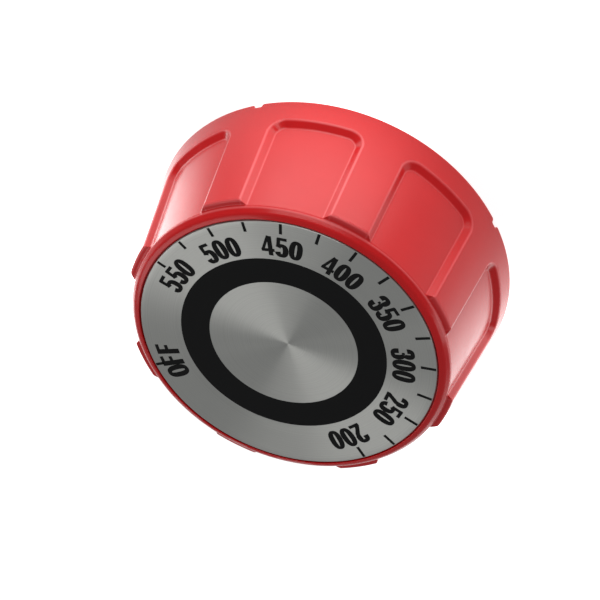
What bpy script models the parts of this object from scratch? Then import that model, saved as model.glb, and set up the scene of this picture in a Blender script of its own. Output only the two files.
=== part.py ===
"""Push-on control knob for an oven thermostat, with a printed metal dial plate.

The knob lies on its back: z = 0 is the plane of its back rim, and +Z points out of the dial.
One grip land has its middle on +X. All lengths are in metres.

Pieces: the moulded knob body, the dial plate, the adhesive film under the plate,
the leaf clip that grips the thermostat's D-shaped stem, and the steel band round the hub.
"""

import math

import bmesh
import bpy
from mathutils import Vector

# Overall sizes
HEIGHT = 0.0253
DIAL_RADIUS = 0.0255
SIDE_TAPER = math.radians(5.6)

# Front rim, a rounded nose around the dial
DIAL_EDGE_GAP = 0.0003
NOSE_RADIUS = 0.0023
NOSE_START_ANGLE = math.radians(13)
NOSE_END_ANGLE = math.radians(70)
NOSE_STEPS = 3

# Dial plate and the film it is stuck down with
PLATE_THICKNESS = 0.0005
PLATE_BELOW_RIM = 0.0001
FILM_THICKNESS = 0.00015
FILM_INSET = 0.0004

# Grip: panels sunk between raised lands
PANEL_COUNT = 8
PANEL_DEPTH = 0.0011
PANEL_WALL_RUN = 0.0011
PANEL_CORNER_RADIUS = 0.0022
PANEL_CORNER_STEPS = 4
PANEL_STEPS = 3
LAND_HALF_ANGLE = math.radians(6.8)
BACK_BAND_HEIGHT = 0.00435
LAND_FOOT_DROP = 0.0017
LAND_END_RUN = 0.00015

# Shell behind the grip
WALL_THICKNESS = 0.0022
WEB_THICKNESS = 0.0030
CLEARING_DEPTH = 0.0030
CLEARING_STEP = 0.0004
RIB_THICKNESS = 0.0016
RIB_COUNT = 4
NOTCH_WIDTH = 0.0016
NOTCH_DEPTH = 0.0007

# Hub and its D-shaped bore
HUB_RADIUS = 0.00675
HUB_END_DEPTH = 0.0020
HUB_SEAT_STEP = 0.00045
BORE_RADIUS = 0.00325
BORE_FLAT_OFFSET = 0.0016
BORE_DEPTH = 0.0160
BORE_LEAD_IN = 0.0006

# Band pressed on the hub's end
BAND_LENGTH = 0.0032
BAND_THICKNESS = 0.00055
BAND_FIT_GAP = 0.0001
BAND_ROOM = 0.0005

# Leaf clip beside the bore's flat
CLIP_WIDTH = 0.0040
CLIP_THICKNESS = 0.0004
CLIP_LENGTH = 0.0113
CLIP_PROUD = 0.000075
CLIP_FOOT = 0.0016
CLIP_LIP_HEIGHT = 0.0013
CLIP_LIP_KICK = 0.00075
CLIP_MOUTH_INSET = 0.0007
CLIP_GAP = 0.0003

TURNED_STEPS = 48
DIAL_STEPS = 96

# Heights worked out from the sizes above
PLATE_TOP = HEIGHT - PLATE_BELOW_RIM
PLATE_BOTTOM = PLATE_TOP - PLATE_THICKNESS
RECESS_FLOOR = PLATE_BOTTOM - FILM_THICKNESS
WEB_BACK = RECESS_FLOOR - WEB_THICKNESS
NOSE_CENTRE_Z = HEIGHT - NOSE_RADIUS * math.cos(NOSE_START_ANGLE)
RIM_FOOT = NOSE_CENTRE_Z + NOSE_RADIUS * math.cos(NOSE_END_ANGLE)
LAND_FOOT = HEIGHT - LAND_FOOT_DROP
LAND_FRONT = LAND_FOOT - LAND_END_RUN
BAND_TOP = HUB_END_DEPTH + BAND_LENGTH + BAND_FIT_GAP

# Radii worked out from the sizes above
RECESS_RADIUS = DIAL_RADIUS + DIAL_EDGE_GAP
NOSE_CENTRE_RADIUS = RECESS_RADIUS - NOSE_RADIUS * math.sin(NOSE_START_ANGLE)
RIM_FOOT_RADIUS = NOSE_CENTRE_RADIUS + NOSE_RADIUS * math.sin(NOSE_END_ANGLE)
HUB_SEAT_RADIUS = HUB_RADIUS - HUB_SEAT_STEP
BAND_INNER_RADIUS = HUB_SEAT_RADIUS + BAND_FIT_GAP
BAND_OUTER_RADIUS = BAND_INNER_RADIUS + BAND_THICKNESS

# The clip lies along the bore's flat, in a pocket of the hub
CLIP_FACE_Y = BORE_FLAT_OFFSET - CLIP_PROUD
CLIP_MOUTH_Z = HUB_END_DEPTH + CLIP_MOUTH_INSET
CLIP_DEEP_Z = CLIP_MOUTH_Z + CLIP_LENGTH
POCKET_BACK_Y = CLIP_FACE_Y + CLIP_FOOT + CLIP_GAP
CLIP_PIVOT = Vector((0.0, CLIP_FACE_Y + CLIP_THICKNESS / 2, CLIP_DEEP_Z - CLIP_THICKNESS / 2))


def floor_radius(z):
    """Radius of the sunk panels' floor, which runs on as the collar under the rim."""
    return RIM_FOOT_RADIUS + (RIM_FOOT - z) * math.tan(SIDE_TAPER)


def land_radius(z):
    """Radius of the raised lands and of the band round the back."""
    return floor_radius(z) + PANEL_DEPTH


def on_circle(radius, angle, z):
    return Vector((radius * math.cos(angle), radius * math.sin(angle), z))


def clear_scene():
    for item in list(bpy.data.objects):
        bpy.data.objects.remove(item, do_unlink=True)


def principled(name, colour, roughness, metallic):
    material = bpy.data.materials.new(name)
    material.use_nodes = True
    shader = material.node_tree.nodes["Principled BSDF"]
    shader.inputs["Base Color"].default_value = (*colour, 1.0)
    shader.inputs["Roughness"].default_value = roughness
    shader.inputs["Metallic"].default_value = metallic
    return material


def add_object(name, bm, location=(0.0, 0.0, 0.0)):
    bmesh.ops.recalc_face_normals(bm, faces=bm.faces)
    mesh = bpy.data.meshes.new(name)
    bm.to_mesh(mesh)
    bm.free()
    item = bpy.data.objects.new(name, mesh)
    item.location = location
    bpy.context.scene.collection.objects.link(item)
    return item


def finish_piece(item, material, sharp_angle=math.radians(25)):
    item.data.materials.append(material)
    item.data.shade_smooth()
    item.data.set_sharp_from_angle(angle=sharp_angle)


def turned(profile, steps=TURNED_STEPS):
    """A body turned about Z from (radius, height) points that start and end on the axis."""
    bm = bmesh.new()
    verts = [bm.verts.new((radius, 0.0, z)) for radius, z in profile]
    edges = [bm.edges.new(pair) for pair in zip(verts, verts[1:])]
    bmesh.ops.spin(bm, geom=verts + edges, axis=(0, 0, 1), cent=(0, 0, 0),
                   angle=2 * math.pi, steps=steps, use_merge=True)
    bmesh.ops.remove_doubles(bm, verts=bm.verts, dist=1e-7)
    return bm


def lofted(lower, upper):
    """A closed body between two outlines with the same number of points."""
    bm = bmesh.new()
    low = [bm.verts.new(point) for point in lower]
    high = [bm.verts.new(point) for point in upper]
    bm.faces.new(low)
    bm.faces.new(high)
    count = len(low)
    for i in range(count):
        j = (i + 1) % count
        bm.faces.new((low[i], low[j], high[j], high[i]))
    return bm


def prism(outline, bottom, top):
    """A straight body on an outline of (x, y) points."""
    return lofted([(x, y, bottom) for x, y in outline], [(x, y, top) for x, y in outline])


def cut(target, name, bm):
    """Takes the shape out of the target with a Boolean modifier."""
    cutter = add_object(name, bm)
    cutter.hide_render = True
    cutter.display_type = "WIRE"
    modifier = target.modifiers.new(name, "BOOLEAN")
    modifier.operation = "DIFFERENCE"
    modifier.solver = "EXACT"
    modifier.object = cutter


# Knob body: the outer skin

def panel_outlines():
    """Outline of half a panel, as (angle, height) points, at land level and at floor level.

    Angle 0 is the middle of a land. Each outline runs from the land's front end back along
    the side wall, round the corner and along the end wall to the middle of the panel.
    """
    corner_z = BACK_BAND_HEIGHT + PANEL_CORNER_RADIUS
    ring = floor_radius(corner_z)
    corner_angle = LAND_HALF_ANGLE + PANEL_CORNER_RADIUS / ring
    inner_radius = PANEL_CORNER_RADIUS - PANEL_WALL_RUN
    foot_angle = LAND_HALF_ANGLE + PANEL_WALL_RUN / ring
    upper = [(LAND_HALF_ANGLE, LAND_FRONT)]
    lower = [(foot_angle, LAND_FOOT)]
    for i in range(PANEL_CORNER_STEPS + 1):
        turn = math.pi / 2 * i / PANEL_CORNER_STEPS
        for points, radius in ((upper, PANEL_CORNER_RADIUS), (lower, inner_radius)):
            angle = corner_angle - radius * math.cos(turn) / ring
            points.append((angle, corner_z - radius * math.sin(turn)))
    middle = math.pi / PANEL_COUNT
    for i in range(1, PANEL_STEPS + 1):
        angle = corner_angle + (middle - corner_angle) * i / PANEL_STEPS
        upper.append((angle, BACK_BAND_HEIGHT))
        lower.append((angle, BACK_BAND_HEIGHT + PANEL_WALL_RUN))
    return upper, lower


def nose_profile():
    """The rounded rim as (radius, height) points, from its foot up to the dial's recess."""
    points = []
    for i in range(NOSE_STEPS + 1):
        turn = NOSE_END_ANGLE + (NOSE_START_ANGLE - NOSE_END_ANGLE) * i / NOSE_STEPS
        radius = NOSE_CENTRE_RADIUS + NOSE_RADIUS * math.sin(turn)
        points.append((radius, NOSE_CENTRE_Z + NOSE_RADIUS * math.cos(turn)))
    return points


def half_sector_faces():
    """Faces of the skin from the middle of a land to the middle of a panel.

    Each face is a list of (radius, angle, height) points.
    """
    upper, lower = panel_outlines()
    corner_z = upper[1][1]
    foot_angle = lower[0][0]

    def land(angle, z):
        return (land_radius(z), angle, z)

    def floor(angle, z):
        return (floor_radius(z), angle, z)

    faces = []
    land_angles = [0.0, LAND_HALF_ANGLE / 2, LAND_HALF_ANGLE]
    foot_angles = [0.0, foot_angle / 2, foot_angle]
    for i in range(2):
        a, b = land_angles[i:i + 2]
        c, d = foot_angles[i:i + 2]
        faces.append([land(a, 0.0), land(b, 0.0), land(b, corner_z), land(a, corner_z)])
        faces.append([land(a, corner_z), land(b, corner_z), land(b, LAND_FRONT), land(a, LAND_FRONT)])
        faces.append([land(a, LAND_FRONT), land(b, LAND_FRONT), floor(d, LAND_FOOT), floor(c, LAND_FOOT)])
        faces.append([floor(c, LAND_FOOT), floor(d, LAND_FOOT), floor(d, RIM_FOOT), floor(c, RIM_FOOT)])
    for i in range(len(upper) - 1):
        faces.append([land(*upper[i]), land(*upper[i + 1]), floor(*lower[i + 1]), floor(*lower[i])])
    for (a, za), (b, zb) in zip(upper[1:], upper[2:]):
        faces.append([land(a, 0.0), land(b, 0.0), land(b, zb), land(a, za)])
    for i, ((a, za), (b, zb)) in enumerate(zip(lower[1:], lower[2:])):
        side = [floor(a, LAND_FOOT)] if i == 0 else []
        faces.append([floor(a, za)] + side + [floor(a, RIM_FOOT), floor(b, RIM_FOOT), floor(b, zb)])
    rim = nose_profile() + [(RECESS_RADIUS, RECESS_FLOOR)]
    rim_angles = foot_angles + [angle for angle, z in lower[2:]]
    for a, b in zip(rim_angles, rim_angles[1:]):
        for (r1, z1), (r2, z2) in zip(rim, rim[1:]):
            faces.append([(r1, a, z1), (r1, b, z1), (r2, b, z2), (r2, a, z2)])
    return faces


def body_skin():
    """The solid outside shape: eight lands and panels, the rim and the dial's recess."""
    bm = bmesh.new()
    half = half_sector_faces()
    for sector in range(PANEL_COUNT):
        middle = 2 * math.pi * sector / PANEL_COUNT
        for side in (1, -1):
            for face in half:
                points = [on_circle(radius, middle + side * angle, z) for radius, angle, z in face]
                bm.faces.new([bm.verts.new(point) for point in points])
    bmesh.ops.remove_doubles(bm, verts=bm.verts, dist=1e-7)
    rim_edges = [edge for edge in bm.edges if edge.is_boundary]
    bmesh.ops.holes_fill(bm, edges=rim_edges, sides=0)
    return bm


# Knob body: the hollow back, the hub and its bore

def back_clearing():
    """Room behind the ribs, the hub's set-back end, the band's seat and the bore's lead-in."""
    wall = floor_radius(0.0) - WALL_THICKNESS + CLEARING_STEP
    wall_top = floor_radius(CLEARING_DEPTH) - WALL_THICKNESS + CLEARING_STEP
    band_room = BAND_OUTER_RADIUS + BAND_ROOM
    below = -0.002
    return turned([
        (0.0, HUB_END_DEPTH + 2 * BORE_LEAD_IN),
        (BORE_RADIUS - BORE_LEAD_IN, HUB_END_DEPTH + 2 * BORE_LEAD_IN),
        (BORE_RADIUS + BORE_LEAD_IN, HUB_END_DEPTH),
        (HUB_SEAT_RADIUS, HUB_END_DEPTH),
        (HUB_SEAT_RADIUS, BAND_TOP),
        (band_room, BAND_TOP),
        (band_room, CLEARING_DEPTH),
        (wall_top, CLEARING_DEPTH),
        (wall, 0.0),
        (wall, below),
        (0.0, below),
    ])


def quarter_pocket(index):
    """One hollow between two ribs, the hub and the outer wall."""
    bottom = CLEARING_DEPTH - 0.0008
    half_rib = RIB_THICKNESS / 2
    start = 2 * math.pi * index / RIB_COUNT
    end = 2 * math.pi * (index + 1) / RIB_COUNT
    steps = TURNED_STEPS // RIB_COUNT
    outlines = []
    for z in (bottom, WEB_BACK):
        outer = floor_radius(z) - WALL_THICKNESS
        points = []
        for radius, way in ((outer, 1), (HUB_RADIUS, -1)):
            trim = math.asin(half_rib / radius)
            arc = [start + trim + (end - start - 2 * trim) * i / steps for i in range(steps + 1)]
            points += [on_circle(radius, angle, z) for angle in arc[::way]]
        outlines.append(points)
    return lofted(*outlines)


def stem_bore():
    """The D-shaped bore, with its flat towards +Y."""
    outline = []
    flat_angle = math.asin(BORE_FLAT_OFFSET / BORE_RADIUS)
    steps = 36
    sweep = math.pi + 2 * flat_angle
    for i in range(steps + 1):
        angle = math.pi - flat_angle + sweep * i / steps
        outline.append((BORE_RADIUS * math.cos(angle), BORE_RADIUS * math.sin(angle)))
    return prism(outline, HUB_END_DEPTH - 0.0005, HUB_END_DEPTH + BORE_DEPTH)


def box_outline(x, y_low, y_high):
    return [(-x, y_low), (x, y_low), (x, y_high), (-x, y_high)]


def clip_pocket():
    """The slot that the leaf clip lies in, open to the bore and to the hub's end."""
    outline = box_outline(CLIP_WIDTH / 2 + CLIP_GAP, BORE_FLAT_OFFSET / 2, POCKET_BACK_Y)
    return prism(outline, HUB_END_DEPTH - 0.0007, CLIP_DEEP_Z + CLIP_GAP)


def pry_notch(index):
    """A small notch in the back rim, at the middle of every other land."""
    turn = 2 * math.pi * (index + 0.5) / RIB_COUNT
    outward = Vector((math.cos(turn), math.sin(turn)))
    across = Vector((-outward.y, outward.x)) * NOTCH_WIDTH / 2
    near = outward * (floor_radius(0.0) - WALL_THICKNESS - 0.002)
    far = outward * (land_radius(0.0) + 0.002)
    outline = [near - across, far - across, far + across, near + across]
    return prism(outline, -0.001, NOTCH_DEPTH)


def build_knob_body():
    body = add_object("knob_body", body_skin())
    cut(body, "cut_back_clearing", back_clearing())
    for index in range(RIB_COUNT):
        cut(body, f"cut_pocket_{index + 1}", quarter_pocket(index))
    cut(body, "cut_stem_bore", stem_bore())
    cut(body, "cut_clip_pocket", clip_pocket())
    for index in range(RIB_COUNT):
        cut(body, f"cut_notch_{index + 1}", pry_notch(index))
    finish_piece(body, principled("red_plastic", (0.66, 0.035, 0.035), 0.28, 0.0))


# Dial plate and film

def disc(radius, bottom, top):
    outline = []
    for i in range(DIAL_STEPS):
        angle = 2 * math.pi * i / DIAL_STEPS
        outline.append((radius * math.cos(angle), radius * math.sin(angle)))
    return prism(outline, bottom, top)


def build_dial():
    plate = add_object("dial_plate", disc(DIAL_RADIUS, PLATE_BOTTOM, PLATE_TOP))
    finish_piece(plate, principled("spun_aluminium", (0.42, 0.42, 0.40), 0.34, 1.0))
    film = add_object("dial_adhesive", disc(DIAL_RADIUS - FILM_INSET, RECESS_FLOOR, PLATE_BOTTOM))
    finish_piece(film, principled("adhesive_film", (0.62, 0.58, 0.50), 0.55, 0.0))


# Hub hardware

def build_hub_band():
    """A steel ring pressed on the hub's end, up against the shoulder of its seat."""
    bottom = BAND_TOP - BAND_LENGTH
    bm = bmesh.new()
    profile = [
        (BAND_OUTER_RADIUS, BAND_TOP),
        (BAND_OUTER_RADIUS, bottom),
        (BAND_INNER_RADIUS, bottom),
        (BAND_INNER_RADIUS, BAND_TOP),
    ]
    verts = [bm.verts.new((radius, 0.0, z)) for radius, z in profile]
    edges = [bm.edges.new((verts[i], verts[(i + 1) % 4])) for i in range(4)]
    bmesh.ops.spin(bm, geom=verts + edges, axis=(0, 0, 1), cent=(0, 0, 0),
                   angle=2 * math.pi, steps=TURNED_STEPS, use_merge=True)
    bmesh.ops.remove_doubles(bm, verts=bm.verts, dist=1e-7)
    band = add_object("hub_band", bm)
    finish_piece(band, principled("plated_steel", (0.55, 0.55, 0.55), 0.30, 1.0))


def build_shaft_clip():
    """A leaf of spring steel: a foot at the deep end, a straight leaf and a kicked-out lip.

    The leaf bends about its foot, so the object's origin is there.
    """
    inner = CLIP_FACE_Y
    outer = CLIP_FACE_Y + CLIP_THICKNESS
    lip_z = CLIP_MOUTH_Z + CLIP_LIP_HEIGHT
    outline = [
        (inner, CLIP_DEEP_Z),
        (inner, lip_z),
        (inner + CLIP_LIP_KICK, CLIP_MOUTH_Z),
        (outer + CLIP_LIP_KICK, CLIP_MOUTH_Z),
        (outer, lip_z),
        (outer, CLIP_DEEP_Z - CLIP_THICKNESS),
        (inner + CLIP_FOOT, CLIP_DEEP_Z - CLIP_THICKNESS),
        (inner + CLIP_FOOT, CLIP_DEEP_Z),
    ]
    sides = []
    for x in (-CLIP_WIDTH / 2, CLIP_WIDTH / 2):
        sides.append([Vector((x, y, z)) - CLIP_PIVOT for y, z in outline])
    clip = add_object("shaft_clip", lofted(*sides), location=CLIP_PIVOT)
    finish_piece(clip, principled("spring_steel", (0.40, 0.41, 0.43), 0.32, 1.0))


clear_scene()
build_knob_body()
build_dial()
build_hub_band()
build_shaft_clip()
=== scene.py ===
import math

import bmesh
import bpy
from mathutils import Matrix, Vector
from mathutils.geometry import delaunay_2d_cdt


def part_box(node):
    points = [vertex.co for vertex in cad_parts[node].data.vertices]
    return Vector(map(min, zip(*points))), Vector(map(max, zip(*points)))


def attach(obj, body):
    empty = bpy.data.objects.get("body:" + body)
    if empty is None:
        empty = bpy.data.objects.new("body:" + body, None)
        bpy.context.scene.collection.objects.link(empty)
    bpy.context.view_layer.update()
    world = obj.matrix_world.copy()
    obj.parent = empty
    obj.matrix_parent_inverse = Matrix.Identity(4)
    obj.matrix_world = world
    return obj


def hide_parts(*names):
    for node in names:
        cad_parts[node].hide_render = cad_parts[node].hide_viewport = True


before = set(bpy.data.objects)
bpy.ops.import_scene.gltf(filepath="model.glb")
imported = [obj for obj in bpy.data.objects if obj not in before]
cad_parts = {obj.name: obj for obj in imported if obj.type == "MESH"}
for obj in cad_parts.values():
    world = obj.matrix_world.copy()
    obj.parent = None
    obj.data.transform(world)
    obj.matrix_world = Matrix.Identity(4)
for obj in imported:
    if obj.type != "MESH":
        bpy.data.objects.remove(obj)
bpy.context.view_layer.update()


# Knob body
# A single injection moulding in red ABS from a polished tool: eight grip lands with sunk panels
# between them, a rounded rim round the dial and a hollow, ribbed back. Sizes are in millimetres.

MM = 0.001
_, body_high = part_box("knob_body")
RIM_TOP = body_high.z / MM
BACK_RADIUS = body_high.x / MM

PANEL_DEPTH = 1.1
SIDE_SLOPE = math.tan(math.radians(5.6))
RECESS_RADIUS = 25.8
RECESS_FLOOR = 24.55
LIP_FILLET = 0.12
# The rim's face turns out of the panels' cone, and its shoulder is (height, radius).
NOSE_FOOT = 22.9
NOSE_TURN = 23.95
NOSE_SHOULDER = (24.85, 26.75)
NOSE_TURN_FILLET = 0.5
NOSE_SHOULDER_FILLET = 1.3

PANEL_COUNT = 8
LAND_HALF_ANGLE = math.radians(6.8)
LAND_FRONT = 23.45
LAND_FOOT = 23.6
LAND_FRONT_FILLET = 0.4
LAND_FOOT_FILLET = 0.35
BAND_TOP = 4.35
CORNER_RADIUS = 2.8
WALL_RUN = 1.1
WALL_TOP_FILLET = 0.6
WALL_FOOT_FILLET = 0.7
MEETING_FILLET = 0.25

NOTCH_DEPTH = 0.7
NOTCH_HALF_WIDTH = 0.8
NOTCH_DRAFT = 0.08
NOTCH_FILLET = 0.3
NOTCH_FADE_TOP = 2.2
EDGE_FILLET = 0.3
INNER_EDGE_FILLET = 0.25

WALL_THICKNESS = 2.2
CLEARING_DEPTH = 3.0
CLEARING_STEP = 0.4
WEB_BACK = 21.55
RIB_HALF = 0.8
POCKET_OUTER_FILLET = 0.9
POCKET_INNER_FILLET = 0.45
HUB_RADIUS = 6.75
HUB_SEAT = 6.3
HUB_FACE = 5.6
HUB_END = 2.0
BAND_ROOM_RADIUS = 7.45
BAND_ROOM_TOP = 5.3
BORE_RADIUS = 3.25
BORE_FLAT = 1.6
BORE_END = 18.0
POCKET_HALF_WIDTH = 2.3
POCKET_BACK = 3.425
POCKET_END = 14.3
PIN_RADIUS = 1.5
PIN_RING = 18.5
PIN_DEPTH = 0.12


def floor_radius(z):
    """The panels' floor, a cone that narrows towards the dial."""
    return BACK_RADIUS - PANEL_DEPTH - z * SIDE_SLOPE


def rounded(corners, steps=4, closed=False):
    """Corner points (a, b, fillet) as a line of points with an arc at each filleted corner."""
    points = []
    count = len(corners)
    for i, (a, b, fillet) in enumerate(corners):
        here = Vector((a, b))
        if fillet == 0 or (not closed and i in (0, count - 1)):
            points.append(here)
            continue
        back = (Vector(corners[i - 1][:2]) - here).normalized()
        ahead = (Vector(corners[(i + 1) % count][:2]) - here).normalized()
        half = back.angle(ahead) / 2
        centre = here + (back + ahead).normalized() * fillet / math.sin(half)
        start = here + back * fillet / math.tan(half) - centre
        end = here + ahead * fillet / math.tan(half) - centre
        sweep = math.pi - 2 * half
        for k in range(steps + 1):
            part = sweep * k / steps
            spoke = start * math.sin(sweep - part) + end * math.sin(part)
            points.append(centre + spoke / math.sin(sweep))
    return points


def height_on(line, place):
    """Height of a line of points at a place along it."""
    for (a, low), (b, high) in zip(line, line[1:]):
        if place <= b:
            return low + (high - low) * max(0.0, place - a) / (b - a)
    return line[-1][1]


NOSE_LINE = rounded([(NOSE_FOOT, floor_radius(NOSE_FOOT), 0),
                     (NOSE_TURN, floor_radius(NOSE_TURN), NOSE_TURN_FILLET),
                     (*NOSE_SHOULDER, NOSE_SHOULDER_FILLET),
                     (RIM_TOP, RECESS_RADIUS, 0)], 6)
WALL_LINE = rounded([(-1.0, PANEL_DEPTH, 0),
                     (0.0, PANEL_DEPTH, WALL_TOP_FILLET),
                     (WALL_RUN, 0.0, WALL_FOOT_FILLET),
                     (3.0, 0.0, 0)], 6)
RING = floor_radius(BAND_TOP + CORNER_RADIUS)
PANEL_PITCH = 2 * math.pi / PANEL_COUNT


def base_radius(z):
    """The panels' floor, running on into the rounded rim."""
    return floor_radius(z) if z <= NOSE_FOOT else height_on(NOSE_LINE, z)


def from_land(angle):
    """Angle from the middle of the nearest land."""
    return abs((angle + PANEL_PITCH / 2) % PANEL_PITCH - PANEL_PITCH / 2)


def inside_panel(angle, z):
    """Distance inside the nearest panel's rounded outline; negative on a land or the band."""
    across = (from_land(angle) - LAND_HALF_ANGLE) * RING - CORNER_RADIUS
    along = z - BAND_TOP - CORNER_RADIUS
    if across >= 0 and along >= 0:
        return CORNER_RADIUS + min(across, along)
    return CORNER_RADIUS - math.hypot(min(across, 0.0), min(along, 0.0))


# Widths in millimetres of the painted highlight lines along the lands' edges, at the walls' feet
# and across the lands' front ends. They fade out towards the rim.
EDGE_HIGHLIGHT_WIDTH = 0.26
FOOT_HIGHLIGHT_WIDTH = 0.17
FOOT_HIGHLIGHT_SHARE = 0.7
FRONT_HIGHLIGHT_WIDTH = 0.28
FRONT_HIGHLIGHT_MIDDLE = LAND_FRONT - 0.1
HIGHLIGHT_END = LAND_FOOT + 0.1
HIGHLIGHT_FADE = 0.3


def edge_highlight_share(angle, z):
    """How strong the painted highlight is, 0 to 1: along the lands' edges, the walls' feet and the
    lands' front ends.
    """
    inside = inside_panel(angle, z)
    edge = max(0.0, 1 - abs(inside) / EDGE_HIGHLIGHT_WIDTH)
    foot = FOOT_HIGHLIGHT_SHARE * max(0.0, 1 - abs(inside - WALL_RUN) / FOOT_HIGHLIGHT_WIDTH)
    front = max(0.0, 1 - abs(z - FRONT_HIGHLIGHT_MIDDLE) / FRONT_HIGHLIGHT_WIDTH) if inside < HIGHLIGHT_FADE else 0.0
    return max(edge, foot, front) * min(1.0, max(0.0, (HIGHLIGHT_END - z) / HIGHLIGHT_FADE))


def grip_height(angle, z, land_height):
    """The lower of the side wall and the land's end, with a soft edge where the two meet."""
    low, high = sorted((height_on(WALL_LINE, inside_panel(angle, z)), land_height))
    soften = max(MEETING_FILLET - (high - low), 0.0) ** 2 / (4 * MEETING_FILLET)
    return low - soften * min(1.0, (PANEL_DEPTH - low) / 0.3)


def notch_lift(around, z):
    """Lifts the rim's back edge over a pry notch; around is the distance from its middle."""
    edge = rounded([(0.0, NOTCH_DEPTH, 0),
                    (NOTCH_HALF_WIDTH - NOTCH_DRAFT, NOTCH_DEPTH, NOTCH_FILLET),
                    (NOTCH_HALF_WIDTH + NOTCH_DRAFT, 0.0, NOTCH_FILLET),
                    (5.0, 0.0, 0)], 4)
    lift = height_on(edge, around)
    return z + lift * min(1.0, max(0.0, (NOTCH_FADE_TOP - z) / (NOTCH_FADE_TOP - EDGE_FILLET)))


# Columns and rows of the skin stand FINE apart across the panels' walls and corners.
FINE = 0.105
FINE_COUNT = 31
LAND_HALF_WIDTH = 3.458
FINE_START = LAND_HALF_WIDTH - 0.27
CORNER_ROW = 7.25


def grip_columns():
    """Angles over a quarter of the knob, close together where the grip has its walls."""
    half = [0.0, 1.6, 2.5, LAND_HALF_WIDTH - 0.65, LAND_HALF_WIDTH - 0.4]
    half += [FINE_START + FINE * i for i in range(FINE_COUNT)]
    half += [LAND_HALF_WIDTH + offset for offset in (3.3, 4.0, 5.0, 6.3)]
    angles = [length / RING for length in half]
    columns = angles + [PANEL_PITCH / 2] + [PANEL_PITCH - angle for angle in reversed(angles)]
    across_notch = (0.3, 0.5, 0.58, 0.64, 0.7, 0.75, 0.8, 0.85, 0.9, 0.96, 1.02, 1.15)
    columns = sorted(set(columns + [length / BACK_RADIUS for length in across_notch]))
    return [-angle for angle in reversed(columns[1:])] + columns


def body_rows():
    """Rows of the knob's skin from the dial's recess over the rim and grip to the hub's end.

    Each row is a rule that gives (radius, height) for a column's angle from the notch.
    """
    rows = []

    def plain(points):
        for radius, z in points:
            rows.append(lambda angle, radius=radius, z=z: (radius, z))

    ends = rounded([(24.5, 0.0, 0),
                    (LAND_FOOT, 0.0, LAND_FOOT_FILLET),
                    (LAND_FRONT, PANEL_DEPTH, LAND_FRONT_FILLET),
                    (22.5, PANEL_DEPTH, 0)], 5)
    above_lands = ends[1].x + 0.03
    nose = [(radius, z, 0) for z, radius in reversed(NOSE_LINE[1:-1]) if z > above_lands]
    plain(rounded([(RECESS_RADIUS - 0.5, RECESS_FLOOR, 0), (RECESS_RADIUS, RECESS_FLOOR, 0),
                   (RECESS_RADIUS, RIM_TOP, LIP_FILLET)] + nose))

    face = [ends[6].lerp(ends[7], part) for part in (0.2, 0.4, 0.6, 0.8)]
    grip = ends[1:7] + face + ends[7:]
    grip += [(z, PANEL_DEPTH) for z in (21.0, 18.0, 15.0, 12.0, 9.5, 7.8)]
    grip += [(CORNER_ROW - FINE * i, PANEL_DEPTH) for i in range(FINE_COUNT)]
    grip += [(z, PANEL_DEPTH) for z in (3.85, 3.4, 2.8, 2.3)]
    for z, land in grip:
        def grip_row(angle, z=z, land=land):
            return base_radius(z) + grip_height(angle, z, land), z
        rows.append(grip_row)

    def lifted(radius_of, inset, z):
        def rim_row(angle):
            place = notch_lift(abs(angle) * BACK_RADIUS, z)
            return radius_of(place) + inset, place
        rows.append(rim_row)

    def outside(z):
        return floor_radius(z) + PANEL_DEPTH

    def inside(z):
        return floor_radius(z) - WALL_THICKNESS + CLEARING_STEP

    # The back edge's rows stand closer together where the notches cut into it.
    for z in (1.9, 1.5, 1.1, 0.75, 0.5):
        lifted(outside, 0.0, z)
    for inset, z in rounded([(0, 1, 0), (0, 0, EDGE_FILLET), (-1, 0, 0)])[1:-1]:
        lifted(outside, inset, z)
    for inset, z in rounded([(1, 0, 0), (0, 0, INNER_EDGE_FILLET), (0, 1, 0)], 3)[1:-1]:
        lifted(inside, inset, z)
    for z in (0.5, 0.9, 1.4, 2.0, 2.5):
        lifted(inside, 0.0, z)
    plain(rounded([(inside(2.7), 2.7, 0), (inside(CLEARING_DEPTH), CLEARING_DEPTH, 0.15),
                   (BAND_ROOM_RADIUS, CLEARING_DEPTH, 0.2), (BAND_ROOM_RADIUS, BAND_ROOM_TOP, 0.15),
                   (HUB_SEAT, BAND_ROOM_TOP, 0.1), (HUB_SEAT, HUB_END, 0.25),
                   (HUB_FACE, HUB_END, 0)], 2))
    return rows


def mesh_object(name, bm):
    """A new object at the origin with this mesh, which is in millimetres."""
    bmesh.ops.scale(bm, vec=(MM, MM, MM), verts=bm.verts)
    mesh = bpy.data.meshes.new(name)
    bm.to_mesh(mesh)
    bm.free()
    piece = bpy.data.objects.new(name, mesh)
    bpy.context.scene.collection.objects.link(piece)
    return piece


NEAR_OUTSIDE = 1.0


def quarter_skin():
    """A quarter of the skin, centred on a land with a pry notch."""
    bm = bmesh.new()
    edge_highlight = bm.verts.layers.float.new("edge_highlight")
    columns = grip_columns()
    grid = []
    for rule in body_rows():
        line = []
        for angle in columns:
            radius, z = rule(angle)
            vert = bm.verts.new((radius * math.cos(angle), radius * math.sin(angle), z))
            # Vertices near the outside carry how strong the painted highlight along the grip's
            # edges is.
            if radius > floor_radius(z) - NEAR_OUTSIDE:
                vert[edge_highlight] = edge_highlight_share(angle, z)
            line.append(vert)
        grid.append(line)
    for upper, lower in zip(grid, grid[1:]):
        for i in range(len(columns) - 1):
            bm.faces.new((upper[i], lower[i], lower[i + 1], upper[i + 1]))
    return mesh_object("quarter_skin", bm)


def add_node(tree, kind, settings=None, inputs=None):
    """Adds a node, sets its properties, and sets or links its inputs."""
    node = tree.nodes.new(kind)
    for name, value in (settings or {}).items():
        setattr(node, name, value)
    for name, value in (inputs or {}).items():
        if isinstance(value, bpy.types.NodeSocket):
            tree.links.new(value, node.inputs[name])
        else:
            node.inputs[name].default_value = value
    return node


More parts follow.
